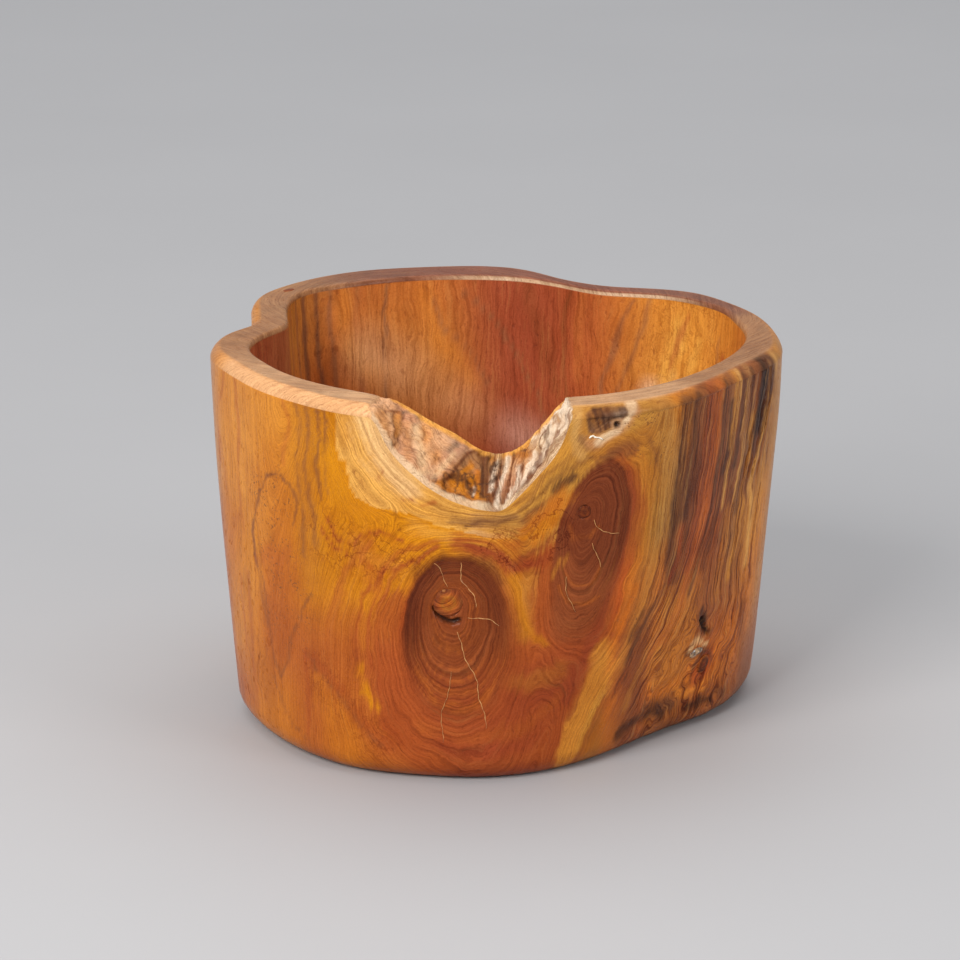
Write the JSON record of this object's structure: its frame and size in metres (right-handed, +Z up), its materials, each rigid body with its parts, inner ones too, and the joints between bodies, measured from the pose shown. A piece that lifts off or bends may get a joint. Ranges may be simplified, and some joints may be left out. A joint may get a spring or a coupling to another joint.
{
  "type": "carved root wood bowl",
  "caption": "Deep free-form bowl carved from one lump of root wood, with a flat rim, a broken notch in its front edge, knots and filled drying cracks; it stands on a flat base.",
  "frame": {"origin": "middle of the bounding box, on the plane that the flat base stands on", "axes": "+Z up out of the mouth; -Y towards the front, where the broken notch is; +X to the right seen from the front"},
  "size_m": [0.3028, 0.3125, 0.2],
  "materials": {
    "root_wood": "clear gloss lacquer",
    "knot_wood": "clear gloss lacquer",
    "light_filler": "set wood filler under lacquer",
    "resin": "glossy set resin"
  },
  "bodies": {
    "root": {"bowl_body": "root_wood", "knot_front_left": "knot_wood", "knot_front_right": "knot_wood", "knot_lower_right": "knot_wood", "knot_rim": "knot_wood", "fill_left_1": "light_filler", "fill_left_2": "light_filler", "fill_left_3": "light_filler", "fill_left_4": "light_filler", "fill_left_5": "light_filler", "fill_right_1": "light_filler", "fill_right_2": "light_filler", "fill_right_3": "light_filler", "filler_chip": "light_filler", "resin_bead": "resin"}
  },
  "joints": []
}
